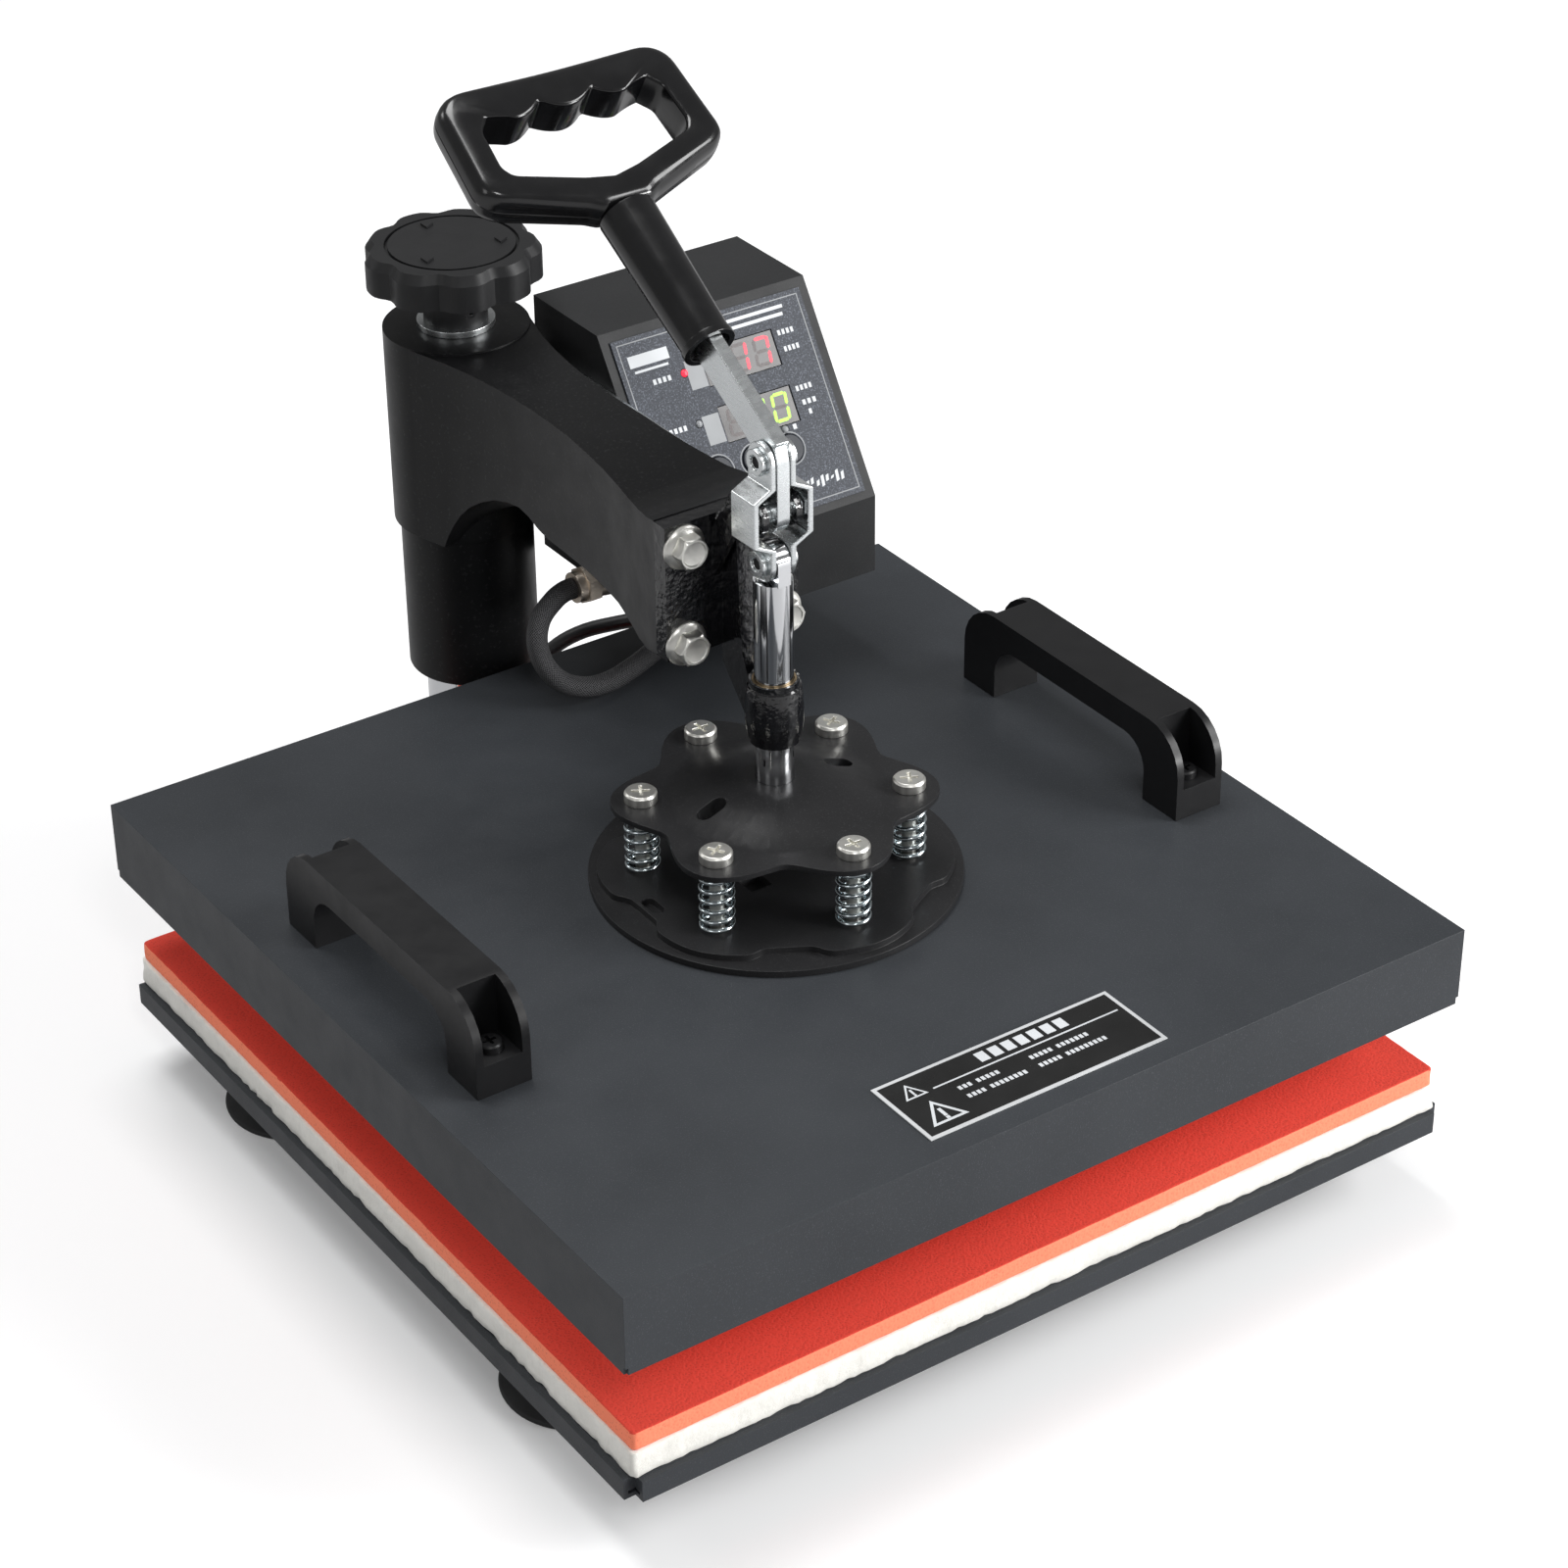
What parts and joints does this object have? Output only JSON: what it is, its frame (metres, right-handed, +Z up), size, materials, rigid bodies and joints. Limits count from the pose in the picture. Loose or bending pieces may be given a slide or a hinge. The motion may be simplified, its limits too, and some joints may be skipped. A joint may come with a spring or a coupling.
{
  "type": "heat press",
  "caption": "Swing-away flat heat press with a sprung square platen, toggle lever, digital control box on the arm and padded lower platen.",
  "frame": {"origin": "on the bench, under the middle of the machine’s plan outline without the mains lead", "axes": "+Z up, -Y towards the operator, +X to the operator’s right"},
  "size_m": [0.4, 0.554, 0.4299],
  "materials": {
    "black_casting": "satin black powder coat",
    "wrinkle_black": "glossy wrinkled black enamel",
    "grey_paint": "fine textured dark grey powder coat",
    "base_paint": "satin black paint",
    "plate_black": "semi-gloss black paint on pressed steel",
    "zinc": "bright zinc plating",
    "chrome": "polished hard chrome",
    "bronze": "machined bronze",
    "nickel_brass": "nickel-plated brass",
    "aluminium": "cast aluminium, machined face",
    "rubber": "black rubber",
    "silicone": "red silicone sponge",
    "felt": "white needled felt",
    "board": "pressed fibre board",
    "insulation": "mineral fibre board",
    "box_paint": "fine textured black-grey powder coat",
    "panel_film": "speckled printed polyester film",
    "display": "tinted display window",
    "circuit": "green solder mask",
    "windings": "laminated core",
    "gloss_plastic": "glossy black plastic",
    "handle_plastic": "satin black moulded plastic",
    "knob_plastic": "matte black moulded plastic",
    "button": "matte film-covered button",
    "nylon": "natural nylon",
    "braid": "black braided sleeve",
    "lead": "smooth black cable sheath",
    "label": "printed anodised plate"
  },
  "bodies": {
    "base": {"spine_plate": "base_paint", "front_crossbar": "base_paint", "rear_crossbar": "base_paint", "rubber_feet": "rubber", "foot_screws": "zinc", "post_flange": "base_paint", "post": "chrome", "post_nut": "bronze", "post_bolts": "zinc", "lower_tray": "grey_paint", "filler_board": "board", "felt_pad": "felt", "silicone_pad": "silicone", "tray_bolts": "zinc"},
    "lift": {"lift_sleeve": "bronze", "thrust_washer": "zinc"},
    "knob": {"knob": "knob_plastic", "spindle": "zinc", "knob_set_screw": "base_paint"},
    "arm": {"arm_casting": "black_casting", "column_tube": "black_casting", "column_bushes": "nylon", "head_bracket": "wrinkle_black", "bracket_bolts": "zinc", "guide_bush": "bronze", "fulcrum_pin": "zinc", "box_bracket": "zinc", "box_shell": "box_paint", "box_back": "box_paint", "control_panel": "panel_film", "displays": "display", "circuit_board": "circuit", "transformer": "windings", "cable_gland": "nickel_brass", "heater_hose": "braid", "strain_relief": "rubber", "mains_lead": "lead", "lead_coil": "lead", "mains_plug": "rubber"},
    "rocker": {"rocker_switch": "gloss_plastic"},
    "button_1": {"button_1": "button"},
    "button_2": {"button_2": "button"},
    "button_3": {"button_3": "button"},
    "button_4": {"button_4": "button"},
    "lever": {"lever_bar": "zinc", "grip_tube": "gloss_plastic", "loop_handle": "gloss_plastic"},
    "links": {"toggle_links": "zinc", "link_pins": "zinc"},
    "plunger": {"plunger_shaft": "chrome", "dome_plate": "plate_black"},
    "platen": {"pressure_plates": "plate_black", "float_bolts": "zinc", "float_springs": "zinc", "platen_cover": "grey_paint", "insulation_board": "insulation", "heating_plate": "aluminium", "side_handles": "handle_plastic", "label_plate": "label", "hose_inlet": "rubber"}
  },
  "joints": [
    {"name": "lift_slide", "type": "slide", "parent": "base", "child": "lift", "axis": [0, 0, 1], "range_m": [0, 0.012]},
    {"name": "knob_turn", "type": "hinge", "parent": "lift", "child": "knob", "pos_m": [0, 0.19875, 0.31], "axis": [0, 0, 1], "range_deg": [0, 1440]},
    {"name": "arm_swing", "type": "hinge", "parent": "lift", "child": "arm", "pos_m": [0, 0.19875, 0.23], "axis": [0, 0, 1], "range_deg": [-30, 110]},
    {"name": "lever_turn", "type": "hinge", "parent": "arm", "child": "lever", "pos_m": [0, -0.04225, 0.2965], "axis": [1, 0, 0], "range_deg": [0, 140]},
    {"name": "link_turn", "type": "hinge", "parent": "lever", "child": "links", "pos_m": [0, -0.04225, 0.3198], "axis": [1, 0, 0], "range_deg": [-120.29, 0]},
    {"name": "plunger_slide", "type": "slide", "parent": "arm", "child": "plunger", "axis": [0, 0, 1], "range_m": [-0.03864, 0]},
    {"name": "platen_slide", "type": "slide", "parent": "arm", "child": "platen", "axis": [0, 0, 1], "range_m": [-0.0296, 0], "deforming": ["float_springs"]},
    {"name": "rocker_tip", "type": "hinge", "parent": "arm", "child": "rocker", "pos_m": [0.1394, 0.14865, 0.2059], "axis": [0, 1, 0], "range_deg": [0, 16]},
    {"name": "button_1_press", "type": "slide", "parent": "arm", "child": "button_1", "axis": [0, 0.841, -0.541], "range_m": [0, 0.0012], "stiffness_N_per_m": 600},
    {"name": "button_2_press", "type": "slide", "parent": "arm", "child": "button_2", "axis": [0, 0.841, -0.541], "range_m": [0, 0.0012], "stiffness_N_per_m": 600},
    {"name": "button_3_press", "type": "slide", "parent": "arm", "child": "button_3", "axis": [0, 0.841, -0.541], "range_m": [0, 0.0012], "stiffness_N_per_m": 600},
    {"name": "button_4_press", "type": "slide", "parent": "arm", "child": "button_4", "axis": [0, 0.841, -0.541], "range_m": [0, 0.0012], "stiffness_N_per_m": 600}
  ],
  "couplings": [
    {"joint": "knob_turn", "follows": "lift_slide", "rad_per_m": 2094.4},
    {"joint": "link_turn", "follows": "lever_turn", "ratio": -0.85886},
    {"joint": "plunger_slide", "follows": "lever_turn", "m_per_rad": -0.015773},
    {"joint": "platen_slide", "follows": "lever_turn", "m_per_rad": -0.012073}
  ]
}
